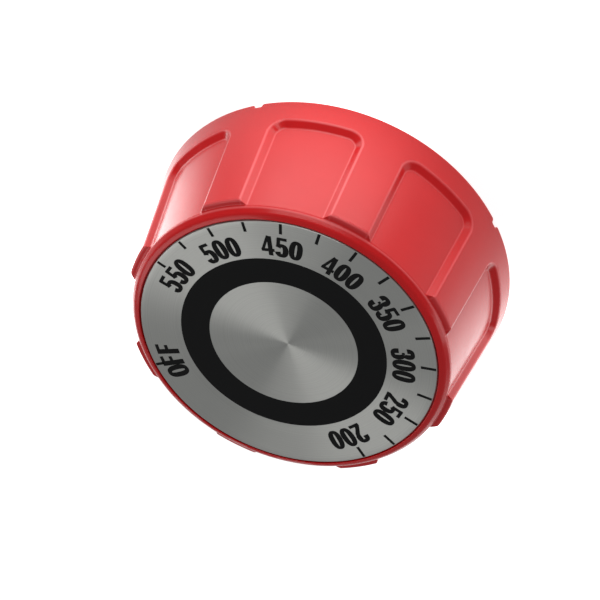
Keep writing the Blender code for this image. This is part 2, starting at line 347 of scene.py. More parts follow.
def geometry_tree(name, sizes):
    """A new Geometry Nodes tree: a shape in, its sizes by name, and the finished shape out."""
    tree = bpy.data.node_groups.new(name, "GeometryNodeTree")
    for socket, kind in (("Shape", "Geometry"), *sizes, ("Material", "Material")):
        tree.interface.new_socket(socket, in_out="INPUT", socket_type=f"NodeSocket{kind}")
    tree.interface.new_socket("Shape", in_out="OUTPUT", socket_type="NodeSocketGeometry")
    return tree


def repeat_round_axis_tree():
    """Geometry Nodes that set copies of a shape round the knob's axis and join them."""
    tree = geometry_tree("repeat_round_axis", (
        ("Copies", "Int"), ("First Angle", "Float"), ("Step Angle", "Float"),
        ("Join Distance", "Float")))
    given = add_node(tree, "NodeGroupInput").outputs
    points = add_node(tree, "GeometryNodePoints", inputs={"Count": given["Copies"]})
    index = add_node(tree, "GeometryNodeInputIndex")
    turn = add_node(tree, "ShaderNodeMath", {"operation": "MULTIPLY_ADD"},
                    {0: index.outputs[0], 1: given["Step Angle"], 2: given["First Angle"]})
    rotation = add_node(tree, "ShaderNodeCombineXYZ", inputs={"Z": turn.outputs[0]})
    copies = add_node(tree, "GeometryNodeInstanceOnPoints", inputs={
        "Points": points.outputs[0], "Instance": given["Shape"], "Rotation": rotation.outputs[0]})
    real = add_node(tree, "GeometryNodeRealizeInstances", inputs={"Geometry": copies.outputs[0]})
    joined = add_node(tree, "GeometryNodeMergeByDistance", inputs={
        "Geometry": real.outputs[0], "Distance": given["Join Distance"]})
    coloured = add_node(tree, "GeometryNodeSetMaterial", inputs={
        "Geometry": joined.outputs[0], "Material": given["Material"]})
    add_node(tree, "NodeGroupOutput", inputs={"Shape": coloured.outputs[0]})
    return tree


def plain_copy(source, name):
    """The evaluated mesh as a new plain object in place of its source."""
    bpy.context.view_layer.update()
    shapes = bpy.context.evaluated_depsgraph_get()
    mesh = bpy.data.meshes.new_from_object(source.evaluated_get(shapes))
    mesh.name = name
    piece = bpy.data.objects.new(name, mesh)
    bpy.context.scene.collection.objects.link(piece)
    bpy.data.objects.remove(source, do_unlink=True)
    return piece


def shaped(source, name, tree, values):
    """Runs a Geometry Nodes tree on the source with the values by their sockets' names."""
    modifier = source.modifiers.new(tree.name, "NODES")
    modifier.node_group = tree
    for item in tree.interface.items_tree:
        if item.in_out == "INPUT" and item.name in values:
            modifier[item.identifier] = values[item.name]
    return plain_copy(source, name)


def lofted(levels, closed=False):
    """A solid through outlines of as many (x, y, z) points each, capped or closed on itself."""
    bm = bmesh.new()
    rings = [[bm.verts.new(point) for point in level] for level in levels]
    if closed:
        rings.append(rings[0])
    else:
        bm.faces.new(rings[0])
        bm.faces.new(rings[-1])
    for lower, upper in zip(rings, rings[1:]):
        for i in range(len(lower)):
            j = (i + 1) % len(lower)
            bm.faces.new((lower[i], lower[j], upper[j], upper[i]))
    bmesh.ops.recalc_face_normals(bm, faces=bm.faces)
    return bm


def circle(radius, z, steps):
    """Points (x, y, z) round the knob's axis."""
    turns = [math.tau * i / steps for i in range(steps)]
    return [(radius * math.cos(turn), radius * math.sin(turn), z) for turn in turns]


def pocket_outline(grow, z):
    """One hollow between two ribs, the hub and the outer wall, with rounded corners."""
    rib = RIB_HALF - grow
    outer = floor_radius(z) - WALL_THICKNESS + grow
    inner = HUB_RADIUS - grow
    corners = []
    for radius, fillet, steps in ((outer, POCKET_OUTER_FILLET, 18),
                                  (inner, POCKET_INNER_FILLET, 8)):
        trim = math.asin(rib / radius)
        arc = [trim + (math.pi / 2 - 2 * trim) * i / steps for i in range(steps + 1)]
        line = [(radius * math.cos(a), radius * math.sin(a), 0) for a in arc]
        line[0] = (*line[0][:2], fillet)
        line[-1] = (*line[-1][:2], fillet)
        corners += line if radius == outer else line[::-1]
    return [(x, y, z) for x, y in rounded(corners, 3, closed=True)]


def bore_outline(grow, z):
    """The D-shaped bore, with its flat towards +Y."""
    radius = BORE_RADIUS + grow
    flat = math.asin((BORE_FLAT + grow) / radius)
    sweep = math.pi + 2 * flat
    turns = [math.pi - flat + sweep * i / 48 for i in range(49)]
    return [(radius * math.cos(turn), radius * math.sin(turn), z) for turn in turns]


def clip_pocket_outline(grow, z):
    """The slot beside the bore's flat, which the clip stands in."""
    side = POCKET_HALF_WIDTH + grow
    back = POCKET_BACK + grow
    corners = [(-side, 0.8, 0), (side, 0.8, 0), (side, back, 0.35), (-side, back, 0.35)]
    return [(x, y, z) for x, y in rounded(corners, 3, closed=True)]


def cut_away(piece, cutters):
    """Takes closed cutters, clear of each other, out of the piece."""
    bm = bmesh.new()
    for cutter in cutters:
        bm.from_mesh(cutter.data)
        bpy.data.objects.remove(cutter, do_unlink=True)
    bmesh.ops.scale(bm, vec=(1 / MM, 1 / MM, 1 / MM), verts=bm.verts)
    tool = mesh_object("cutters", bm)
    modifier = piece.modifiers.new("cut", "BOOLEAN")
    modifier.operation = "DIFFERENCE"
    modifier.solver = "EXACT"
    modifier.object = tool
    name = piece.name
    piece.name = "uncut"
    cut = plain_copy(piece, name)
    bpy.data.objects.remove(tool, do_unlink=True)
    return cut


def smooth(piece, degrees=30, weld=0.002):
    """Closes slivers left by cuts and bevels, and shades the piece smooth up to an angle."""
    bm = bmesh.new()
    bm.from_mesh(piece.data)
    bmesh.ops.remove_doubles(bm, verts=bm.verts, dist=weld * MM)
    bmesh.ops.dissolve_degenerate(bm, edges=bm.edges, dist=weld * MM / 2)
    bm.to_mesh(piece.data)
    bm.free()
    piece.data.shade_smooth()
    piece.data.set_sharp_from_angle(angle=math.radians(degrees))


def linear(hex_colour):
    """An sRGB hex colour as a linear RGBA."""
    channels = [int(hex_colour[i:i + 2], 16) / 255 for i in (1, 3, 5)]
    return (*(c / 12.92 if c <= 0.04045 else ((c + 0.055) / 1.055) ** 2.4 for c in channels), 1.0)


def new_material(name):
    """An empty node material and its tree."""
    material = bpy.data.materials.new(name)
    material.use_nodes = True
    material.node_tree.nodes.clear()
    return material, material.node_tree


def polished_red_plastic():
    """Injection-moulded ABS in red, gloss from a polished tool.

    The eye gets a soft, broad sheen, a faint waviness of the cooled skin and slight clouding of the
    pigment where the melt flowed. Pale lines along the grip's edges and round the rim, where its
    shoulder turns, are painted highlights.
    """
    material, tree = new_material("polished_red_abs")
    place = add_node(tree, "ShaderNodeTexCoord").outputs["Object"]
    clouds = add_node(tree, "ShaderNodeTexNoise", inputs={
        "Vector": place, "Scale": 1 / (9 * MM), "Detail": 3.0, "Roughness": 0.55})
    pigment = add_node(tree, "ShaderNodeMix", {"data_type": "RGBA"}, {
        0: clouds.outputs[0], 6: linear("#B60D10"), 7: linear("#C51316")})
    # Painted highlight lines along the grip's edges, from the skin's per-vertex strength.
    edge_highlight = add_node(tree, "ShaderNodeAttribute", {"attribute_name": "edge_highlight"})
    highlight_amount = add_node(tree, "ShaderNodeMath", {"operation": "MULTIPLY"}, {
        0: edge_highlight.outputs["Fac"], 1: 0.55})
    height = add_node(tree, "ShaderNodeSeparateXYZ", inputs={0: place})
    # A painted highlight line round the rim, where its shoulder turns out of the panels' cone.
    from_line = add_node(tree, "ShaderNodeMath", {"operation": "SUBTRACT"}, {
        0: height.outputs["Z"], 1: NOSE_TURN * MM})
    off_line = add_node(tree, "ShaderNodeMath", {"operation": "ABSOLUTE"}, {
        0: from_line.outputs[0]})
    rim_highlight = add_node(tree, "ShaderNodeMapRange", inputs={
        "Value": off_line.outputs[0], "From Min": 0.08 * MM, "From Max": 0.26 * MM,
        "To Min": 0.4, "To Max": 0.0})
    paler = add_node(tree, "ShaderNodeMath", {"operation": "MAXIMUM"}, {
        0: highlight_amount.outputs[0], 1: rim_highlight.outputs[0]})
    # The pigment turns pale pink where the painted highlights fall.
    colour = add_node(tree, "ShaderNodeMix", {"data_type": "RGBA"}, {
        0: paler.outputs[0], 6: pigment.outputs[2], 7: linear("#E4686A")})
    wipe = add_node(tree, "ShaderNodeTexNoise", inputs={
        "Vector": place, "Scale": 1 / (3 * MM), "Detail": 4.0, "Roughness": 0.6})
    roughness = add_node(tree, "ShaderNodeMapRange", inputs={
        "Value": wipe.outputs[0], "From Min": 0.3, "From Max": 0.7, "To Min": 0.18, "To Max": 0.26})
    peel = add_node(tree, "ShaderNodeTexNoise", inputs={
        "Vector": place, "Scale": 1 / (1.1 * MM), "Detail": 2.0, "Roughness": 0.45})
    skin = add_node(tree, "ShaderNodeBump", inputs={
        "Height": peel.outputs[0], "Strength": 0.35, "Distance": 0.02 * MM})
    shader = add_node(tree, "ShaderNodeBsdfPrincipled", inputs={
        "Base Color": colour.outputs[2], "Roughness": roughness.outputs[0],
        "Normal": skin.outputs[0], "IOR": 1.53, "Specular IOR Level": 0.3})
    add_node(tree, "ShaderNodeOutputMaterial", inputs={"Surface": shader.outputs[0]})
    return material


red_plastic = polished_red_plastic()
repeat_round_axis = repeat_round_axis_tree()


def round_axis(piece, name, copies, first_angle):
    """Copies of a moulded shape, evenly spaced round the axis and joined."""
    return shaped(piece, name, repeat_round_axis, {
        "Copies": copies, "First Angle": first_angle, "Step Angle": math.tau / copies,
        "Join Distance": 0.001 * MM, "Material": red_plastic})


skin = round_axis(quarter_skin(), "moulding", 4, math.pi / 4)
bm = bmesh.new()
bm.from_mesh(skin.data)
bmesh.ops.holes_fill(bm, edges=[edge for edge in bm.edges if edge.is_boundary], sides=0)
bmesh.ops.recalc_face_normals(bm, faces=bm.faces)
bm.to_mesh(skin.data)
bm.free()

# Each cutter's levels are (height, how far its outline grows past the nominal one).
POCKET_LEVELS = ((2.4, 0.2), (3.0, 0.2), (3.05, 0.09), (3.2, 0.0), (21.05, -0.06),
                 (21.3, -0.14), (21.48, -0.3), (WEB_BACK, -0.56))
BORE_LEVELS = ((1.4, 1.2), (HUB_END, 0.6), (2.6, 0.0), (17.7, 0.0), (BORE_END, -0.3))
SLOT_LEVELS = ((1.5, 0.25), (HUB_END, 0.25), (2.25, 0.0), (14.1, 0.0), (POCKET_END, -0.2))
PIN_LEVELS = ((WEB_BACK - 0.3, 0.0), (WEB_BACK + PIN_DEPTH, 0.0))


def cutter(name, outline, levels):
    """A closed cutter through an outline at several heights."""
    return mesh_object(name, lofted([outline(grow, z) for z, grow in levels]))


def pin_mark_outline(grow, z):
    """The round mark of an ejector pin on the web."""
    return [(PIN_RING + x, y, z) for x, y, z in circle(PIN_RADIUS + grow, z, 32)]


pockets = round_axis(cutter("quarter_pocket", pocket_outline, POCKET_LEVELS), "pockets", 4, 0.0)
bore = cutter("bore", bore_outline, BORE_LEVELS)
skin = cut_away(skin, [pockets, bore])
slot = cutter("clip_slot", clip_pocket_outline, SLOT_LEVELS)
pins = round_axis(cutter("pin_mark", pin_mark_outline, PIN_LEVELS), "pin_marks", 8,
                  PANEL_PITCH / 2)
cut_skin = cut_away(skin, [slot, pins])
cut_skin.data.materials.clear()
cut_skin.data.materials.append(red_plastic)
smooth(cut_skin)
flats = cut_skin.modifiers.new("flats_stay_flat", "WEIGHTED_NORMAL")
flats.keep_sharp = True
knob_moulding = plain_copy(cut_skin, "knob_moulding")
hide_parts("knob_body")
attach(knob_moulding, "knob")


# Hub band
# A ring of zinc-plated steel strip, pressed over the hub's end so that the slotted hub can't
# split when the stem is pushed in. Its edges are rolled slightly round.

band_low, band_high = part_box("hub_band")


def turned(profile, steps, closed):
    """A body turned about the knob's axis from (radius, height) points."""
    return lofted([circle(radius, z, steps) for radius, z in profile], closed)


def zinc_plated_steel():
    """Cold-rolled steel with bright zinc plating.

    The eye gets a bluish grey metal with a faintly cloudy, spangled sheen and fine drawing lines
    round the ring.
    """
    material, tree = new_material("bright_zinc_plate")
    place = add_node(tree, "ShaderNodeTexCoord").outputs["Object"]
    spangle = add_node(tree, "ShaderNodeTexVoronoi", inputs={
        "Vector": place, "Scale": 1 / (0.8 * MM)})
    tone = add_node(tree, "ShaderNodeSeparateColor", inputs={0: spangle.outputs["Color"]})
    colour = add_node(tree, "ShaderNodeMix", {"data_type": "RGBA"}, {
        0: tone.outputs[0], 6: linear("#B4B8BC"), 7: linear("#CDD0D2")})
    stretched = add_node(tree, "ShaderNodeMapping", inputs={
        "Vector": place, "Scale": (0.0, 0.0, 1.0)})
    lines = add_node(tree, "ShaderNodeTexNoise", inputs={
        "Vector": stretched.outputs[0], "Scale": 1 / (0.12 * MM), "Detail": 2.0})
    roughness = add_node(tree, "ShaderNodeMapRange", inputs={
        "Value": lines.outputs[0], "From Min": 0.3, "From Max": 0.7,
        "To Min": 0.24, "To Max": 0.40})
    relief = add_node(tree, "ShaderNodeBump", inputs={
        "Height": lines.outputs[0], "Strength": 0.25, "Distance": 0.01 * MM})
    shader = add_node(tree, "ShaderNodeBsdfPrincipled", inputs={
        "Base Color": colour.outputs[2], "Metallic": 1.0, "Roughness": roughness.outputs[0],
        "Normal": relief.outputs[0]})
    add_node(tree, "ShaderNodeOutputMaterial", inputs={"Surface": shader.outputs[0]})
    return material


BAND_INNER = 6.4
BAND_EDGE = 0.14
band_outer = band_high.x / MM
band_bottom = band_low.z / MM
band_top = band_high.z / MM
band_profile = rounded([
    (BAND_INNER, band_bottom, BAND_EDGE),
    (band_outer, band_bottom, BAND_EDGE),
    (band_outer, band_top, BAND_EDGE),
    (BAND_INNER, band_top, BAND_EDGE),
], 4, closed=True)
hub_band = mesh_object("hub_band_ring", turned(band_profile, 96, closed=True))
hub_band.data.materials.append(zinc_plated_steel())
smooth(hub_band, 50)
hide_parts("hub_band")
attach(hub_band, "knob")


# Shaft clip
# A leaf of hardened spring steel strip, stamped and bent: a foot held at the deep end of the
# hub's slot, a straight leaf along the bore's flat, and a lip kicked out to lead the stem in.

clip_low, clip_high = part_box("shaft_clip")
CLIP_THICKNESS = 0.4
CLIP_LIP_HEIGHT = 1.3
CLIP_LIP_KICK = 0.75
CLIP_BURR = 0.05


def tempered_spring_steel():
    """Carbon spring steel strip, hardened, tempered and oiled.

    The eye gets a darker satin grey, with rolling lines along the leaf and a slight straw and
    blue tint from tempering.
    """
    material, tree = new_material("tempered_spring_steel")
    place = add_node(tree, "ShaderNodeTexCoord").outputs["Object"]
    tint = add_node(tree, "ShaderNodeTexNoise", inputs={
        "Vector": place, "Scale": 1 / (4 * MM), "Detail": 2.0})
    colour = add_node(tree, "ShaderNodeMix", {"data_type": "RGBA"}, {
        0: tint.outputs[0], 6: linear("#8A8E99"), 7: linear("#A39C90")})
    stretched = add_node(tree, "ShaderNodeMapping", inputs={
        "Vector": place, "Scale": (1.0, 0.15, 0.02)})
    lines = add_node(tree, "ShaderNodeTexNoise", inputs={
        "Vector": stretched.outputs[0], "Scale": 1 / (0.15 * MM), "Detail": 2.0})
    roughness = add_node(tree, "ShaderNodeMapRange", inputs={
        "Value": lines.outputs[0], "From Min": 0.3, "From Max": 0.7,
        "To Min": 0.26, "To Max": 0.42})
    relief = add_node(tree, "ShaderNodeBump", inputs={
        "Height": lines.outputs[0], "Strength": 0.3, "Distance": 0.01 * MM})
    shader = add_node(tree, "ShaderNodeBsdfPrincipled", inputs={
        "Base Color": colour.outputs[2], "Metallic": 1.0, "Roughness": roughness.outputs[0],
        "Normal": relief.outputs[0]})
    add_node(tree, "ShaderNodeOutputMaterial", inputs={"Surface": shader.outputs[0]})
    return material


clip_face = clip_low.y / MM
clip_back = clip_face + CLIP_THICKNESS
clip_mouth = clip_low.z / MM
clip_deep = clip_high.z / MM
lip_root = clip_mouth + CLIP_LIP_HEIGHT
clip_outline = rounded([
    (clip_face, clip_deep, 0.6),
    (clip_face, lip_root, 0.9),
    (clip_face + CLIP_LIP_KICK, clip_mouth, CLIP_BURR),
    (clip_back + CLIP_LIP_KICK, clip_mouth, CLIP_BURR),
    (clip_back, lip_root, 0.5),
    (clip_back, clip_deep - CLIP_THICKNESS, 0.2),
    (clip_high.y / MM, clip_deep - CLIP_THICKNESS, CLIP_BURR),
    (clip_high.y / MM, clip_deep, CLIP_BURR),
], 5, closed=True)
clip_sides = [[(x, y, z) for y, z in clip_outline] for x in (clip_low.x / MM, clip_high.x / MM)]
leaf = mesh_object("leaf", lofted(clip_sides))
leaf.data.materials.append(tempered_spring_steel())
bevel = leaf.modifiers.new("deburred", "BEVEL")
bevel.width = CLIP_BURR * MM
bevel.segments = 2
bevel.limit_method = "ANGLE"
bevel.angle_limit = math.radians(60)
shaft_clip = plain_copy(leaf, "shaft_clip_leaf")
smooth(shaft_clip, 40, weld=0.012)
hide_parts("shaft_clip")
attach(shaft_clip, "clip")


# Adhesive film
# Double-sided transfer film, die-cut to a disc a little smaller than the plate, which holds the
# plate down in the rim's recess. Nothing of it shows once the plate is on.

film_low, film_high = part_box("dial_adhesive")


def acrylic_transfer_film():
    """Cast acrylic adhesive on a thin carrier.

    The eye gets a milky cream with tiny trapped bubbles and a dull, slightly tacky sheen.
    """
    material, tree = new_material("acrylic_transfer_film")
    place = add_node(tree, "ShaderNodeTexCoord").outputs["Object"]
    bubbles = add_node(tree, "ShaderNodeTexVoronoi", inputs={
        "Vector": place, "Scale": 1 / (0.6 * MM)})
    haze = add_node(tree, "ShaderNodeMapRange", inputs={
        "Value": bubbles.outputs["Distance"], "From Min": 0.0, "From Max": 0.25})
    colour = add_node(tree, "ShaderNodeMix", {"data_type": "RGBA"}, {
        0: haze.outputs[0], 6: linear("#DAD6C8"), 7: linear("#E9E5D8")})
    relief = add_node(tree, "ShaderNodeBump", inputs={
        "Height": haze.outputs[0], "Strength": 0.2, "Distance": 0.01 * MM})
    shader = add_node(tree, "ShaderNodeBsdfPrincipled", inputs={
        "Base Color": colour.outputs[2], "Roughness": 0.5, "Normal": relief.outputs[0],
        "IOR": 1.47})
    add_node(tree, "ShaderNodeOutputMaterial", inputs={"Surface": shader.outputs[0]})
    return material


film_edge = film_high.x / MM
film_profile = [(film_edge, film_low.z / MM), (film_edge, film_high.z / MM)]
film = mesh_object("adhesive_disc", turned(film_profile, 128, closed=False))
film.data.materials.append(acrylic_transfer_film())
smooth(film)
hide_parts("dial_adhesive")
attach(film, "knob")


# Dial plate
# A disc blanked from half-millimetre aluminium sheet. Its face was spun against an abrasive
# pad, which leaves fine concentric lines and the bright fan of light that turns round its middle.

plate_low, plate_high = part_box("dial_plate")
PLATE_RADIUS = plate_high.x / MM
PLATE_TOP = plate_high.z / MM


def spun_aluminium():
    """Soft aluminium sheet, spun-finished and clear lacquered.

    The eye gets a grey metal whose sheen is drawn out from the middle in a fan, with fine
    concentric lines. The real lines are some 0.05 mm apart; they are drawn at about 0.2 mm,
    the finest that shows.
    """
    material, tree = new_material("spun_aluminium_sheet")
    place = add_node(tree, "ShaderNodeTexCoord").outputs["Object"]
    flat = add_node(tree, "ShaderNodeVectorMath", {"operation": "MULTIPLY"}, {
        0: place, 1: (1.0, 1.0, 0.0)})
    radius = add_node(tree, "ShaderNodeVectorMath", {"operation": "LENGTH"}, {0: flat.outputs[0]})
    outward = add_node(tree, "ShaderNodeVectorMath", {"operation": "NORMALIZE"}, {
        0: flat.outputs[0]})
    lines = add_node(tree, "ShaderNodeTexNoise", {"noise_dimensions": "1D"}, {
        "W": radius.outputs["Value"], "Scale": 1 / (0.2 * MM), "Detail": 3.0, "Roughness": 0.65})
    rings = add_node(tree, "ShaderNodeTexNoise", {"noise_dimensions": "1D"}, {
        "W": radius.outputs["Value"], "Scale": 1 / (2.5 * MM), "Detail": 2.0})
    handling = add_node(tree, "ShaderNodeTexNoise", inputs={
        "Vector": place, "Scale": 1 / (7 * MM), "Detail": 3.0})
    tone = add_node(tree, "ShaderNodeMath", {"operation": "MULTIPLY_ADD"}, {
        0: lines.outputs[0], 1: 0.55, 2: 0.2})
    colour = add_node(tree, "ShaderNodeMix", {"data_type": "RGBA"}, {
        0: tone.outputs[0], 6: linear("#B2B2AD"), 7: linear("#DADAD5")})
    wear = add_node(tree, "ShaderNodeMath", {"operation": "ADD"}, {
        0: rings.outputs[0], 1: handling.outputs[0]})
    roughness = add_node(tree, "ShaderNodeMapRange", inputs={
        "Value": wear.outputs[0], "From Min": 0.7, "From Max": 1.3, "To Min": 0.38, "To Max": 0.46})
    relief = add_node(tree, "ShaderNodeBump", inputs={
        "Height": lines.outputs[0], "Strength": 0.12, "Distance": 0.01 * MM})
    shader = add_node(tree, "ShaderNodeBsdfPrincipled", inputs={
        "Base Color": colour.outputs[2], "Metallic": 1.0, "Roughness": roughness.outputs[0],
        "Anisotropic": 0.92, "Normal": relief.outputs[0], "Tangent": outward.outputs[0]})
    add_node(tree, "ShaderNodeOutputMaterial", inputs={"Surface": shader.outputs[0]})
    return material


PLATE_BACK_EDGE = 0.05
PLATE_FACE_EDGE = 0.12
plate_back = plate_low.z / MM
plate_profile = rounded([
    (PLATE_RADIUS - 1, plate_back, 0),
    (PLATE_RADIUS, plate_back, PLATE_BACK_EDGE),
    (PLATE_RADIUS, PLATE_TOP, PLATE_FACE_EDGE),
    (PLATE_RADIUS - 1, PLATE_TOP, 0),
], 3)
dial_plate = mesh_object("dial_plate_disc", turned(plate_profile, 256, closed=False))
dial_plate.data.materials.append(spun_aluminium())
smooth(dial_plate)
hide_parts("dial_plate")
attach(dial_plate, "knob")


# Printed scale
# Black ink, screen printed on the plate: a broad ring, a tick every 25 degrees, a tick for OFF,
# and the figures every 50. The print sits a little off the plate's centre, as the real one does.

RING_CENTRE = Vector((-0.69, -0.33, 0.0))
FIGURE_CENTRE = Vector((-0.69, -0.82, 0.0))
TICK_CENTRE = Vector((-0.49, -0.33, 0.0))
INK_SUNK = 0.01
INK_PROUD = 0.012
INK_BOTTOM = PLATE_TOP - INK_SUNK
INK_TOP = PLATE_TOP + INK_PROUD
RING_INNER = 12.78
RING_OUTER = 17.73
TICK_INNER = 23.33
TICK_OUTER = 27.0
TICK_MARGIN = 0.14
TICK_WIDTH = 0.54
TICK_COUNT = 15
TICK_STEP = math.radians(14.87)
TICK_200 = math.radians(126.8)
TICK_OFF = math.radians(-135.4)


def screen_ink():
    """Solvent-based black screen ink on bare metal.

    The eye gets a dense, even black with a low satin sheen and the faint tooth of the mesh.
    The mesh is some 0.1 mm and is drawn at 0.3 mm.
    """
    material, tree = new_material("black_screen_ink")
    place = add_node(tree, "ShaderNodeTexCoord").outputs["Object"]
    tooth = add_node(tree, "ShaderNodeTexNoise", inputs={
        "Vector": place, "Scale": 1 / (0.3 * MM), "Detail": 2.0})
    colour = add_node(tree, "ShaderNodeMix", {"data_type": "RGBA"}, {
        0: tooth.outputs[0], 6: linear("#040404"), 7: linear("#090909")})
    roughness = add_node(tree, "ShaderNodeMapRange", inputs={
        "Value": tooth.outputs[0], "From Min": 0.3, "From Max": 0.7,
        "To Min": 0.5, "To Max": 0.62})
    relief = add_node(tree, "ShaderNodeBump", inputs={
        "Height": tooth.outputs[0], "Strength": 0.15, "Distance": 0.01 * MM})
    shader = add_node(tree, "ShaderNodeBsdfPrincipled", inputs={
        "Base Color": colour.outputs[2], "Roughness": roughness.outputs[0],
        "Normal": relief.outputs[0], "Specular IOR Level": 0.15})
    add_node(tree, "ShaderNodeOutputMaterial", inputs={"Surface": shader.outputs[0]})
    return material


def printed(piece):
    """Finishes a printed piece, which moves with the knob."""
    piece.data.materials.clear()
    piece.data.materials.append(black_ink)
    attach(piece, "knob")


black_ink = screen_ink()

ring = turned([(RING_INNER, INK_BOTTOM), (RING_OUTER, INK_BOTTOM),
               (RING_OUTER, INK_TOP), (RING_INNER, INK_TOP)], 192, closed=True)
bmesh.ops.translate(ring, vec=RING_CENTRE, verts=ring.verts)
printed(mesh_object("printed_ring", ring))


def tick_tree():
    """Geometry Nodes for the ticks: bars round the print's centre, cut at the plate's edge."""
    tree = geometry_tree("scale_ticks", (
        ("Ticks", "Int"), ("First Angle", "Float"), ("Step Angle", "Float"),
        ("Inner End", "Float"), ("Outer End", "Float"), ("Width", "Float"),
        ("Thickness", "Float"), ("Centre", "Vector"), ("Plate Edge", "Float")))
    given = add_node(tree, "NodeGroupInput").outputs
    length = add_node(tree, "ShaderNodeMath", {"operation": "SUBTRACT"}, {
        0: given["Outer End"], 1: given["Inner End"]})
    size = add_node(tree, "ShaderNodeCombineXYZ", inputs={
        "X": given["Width"], "Y": length.outputs[0], "Z": given["Thickness"]})
    bar = add_node(tree, "GeometryNodeMeshCube", inputs={"Size": size.outputs[0]})
    both = add_node(tree, "ShaderNodeMath", {"operation": "ADD"}, {
        0: given["Outer End"], 1: given["Inner End"]})
    middle = add_node(tree, "ShaderNodeMath", {"operation": "MULTIPLY"}, {
        0: both.outputs[0], 1: 0.5})
    out = add_node(tree, "ShaderNodeCombineXYZ", inputs={"Y": middle.outputs[0]})
    set_out = add_node(tree, "GeometryNodeTransform", inputs={
        "Geometry": bar.outputs[0], "Translation": out.outputs[0]})
    points = add_node(tree, "GeometryNodePoints", inputs={
        "Count": given["Ticks"], "Position": given["Centre"]})
    index = add_node(tree, "GeometryNodeInputIndex")
    turn = add_node(tree, "ShaderNodeMath", {"operation": "MULTIPLY_ADD"}, {
        0: index.outputs[0], 1: given["Step Angle"], 2: given["First Angle"]})
    rotation = add_node(tree, "ShaderNodeCombineXYZ", inputs={"Z": turn.outputs[0]})
    bars = add_node(tree, "GeometryNodeInstanceOnPoints", inputs={
        "Points": points.outputs[0], "Instance": set_out.outputs[0],
        "Rotation": rotation.outputs[0]})
    real = add_node(tree, "GeometryNodeRealizeInstances", inputs={"Geometry": bars.outputs[0]})
    place = add_node(tree, "GeometryNodeInputPosition")
    flat = add_node(tree, "ShaderNodeVectorMath", {"operation": "MULTIPLY"}, {
        0: place.outputs[0], 1: (1.0, 1.0, 0.0)})
    radius = add_node(tree, "ShaderNodeVectorMath", {"operation": "LENGTH"}, {0: flat.outputs[0]})
    share = add_node(tree, "ShaderNodeMath", {"operation": "DIVIDE"}, {
        0: given["Plate Edge"], 1: radius.outputs["Value"]})
    kept = add_node(tree, "ShaderNodeMath", {"operation": "MINIMUM"}, {
        0: share.outputs[0], 1: 1.0})
    squeeze = add_node(tree, "ShaderNodeCombineXYZ", inputs={
        "X": kept.outputs[0], "Y": kept.outputs[0], "Z": 1.0})
    moved = add_node(tree, "ShaderNodeVectorMath", {"operation": "MULTIPLY"}, {
        0: place.outputs[0], 1: squeeze.outputs[0]})
    trimmed = add_node(tree, "GeometryNodeSetPosition", inputs={
        "Geometry": real.outputs[0], "Position": moved.outputs[0]})
    inked = add_node(tree, "GeometryNodeSetMaterial", inputs={
        "Geometry": trimmed.outputs[0], "Material": given["Material"]})
    add_node(tree, "NodeGroupOutput", inputs={"Shape": inked.outputs[0]})
    return tree


scale_ticks = tick_tree()


def print_ticks(name, count, first_angle, step_angle):
    """Ticks at even steps, clockwise from the first."""
    printed(shaped(mesh_object("ticks", bmesh.new()), name, scale_ticks, {
        "Ticks": count, "First Angle": -first_angle, "Step Angle": step_angle,
        "Inner End": TICK_INNER * MM, "Outer End": TICK_OUTER * MM, "Width": TICK_WIDTH * MM,
        "Thickness": (INK_TOP - INK_BOTTOM) * MM,
        "Centre": (TICK_CENTRE.x * MM, TICK_CENTRE.y * MM, (INK_TOP + INK_BOTTOM) / 2 * MM),
        "Plate Edge": (PLATE_RADIUS - TICK_MARGIN) * MM, "Material": black_ink}))


print_ticks("printed_ticks", TICK_COUNT, TICK_200, TICK_STEP)
print_ticks("printed_tick_off", 1, TICK_OFF, 0.0)

# The figures are a bold, narrow grotesque, drawn as strokes that overlap and are then made one
# flat shape. STEM is the width of an upright stroke and LEVEL of a level one.
TOP = 4.0
STEM = 0.98
LEVEL = 0.70
FIGURE_ADVANCE = 2.36


def stroke(points, widths):
    """Quads along a line of points, as wide as told at each point."""
    points = [Vector(point) for point in points]
    edges = []
    for i, point in enumerate(points):
        way = (points[min(i + 1, len(points) - 1)] - points[max(i - 1, 0)]).normalized()
        side = Vector((-way.y, way.x)) * widths[i] / 2
        edges.append((point + side, point - side))
    return [[a[0], a[1], b[1], b[0]] for a, b in zip(edges, edges[1:])]


def bar(start, end, width):
    """A straight stroke."""
    return stroke([start, end], [width, width])


def bowl(centre, half_width, half_height, start, end, steps=30):
    """Part of a squarish ring, heavier at its sides, between two angles in degrees."""
    points, widths = [], []
    for i in range(steps + 1):
        turn = math.radians(start + (end - start) * i / steps)
        c, s = math.cos(turn), math.sin(turn)
        points.append((centre[0] + half_width * math.copysign(abs(c) ** 0.8, c),
                       centre[1] + half_height * math.copysign(abs(s) ** 0.8, s)))
        widths.append(LEVEL + (STEM - LEVEL) * abs(c) ** 1.3)
    return stroke(points, widths)


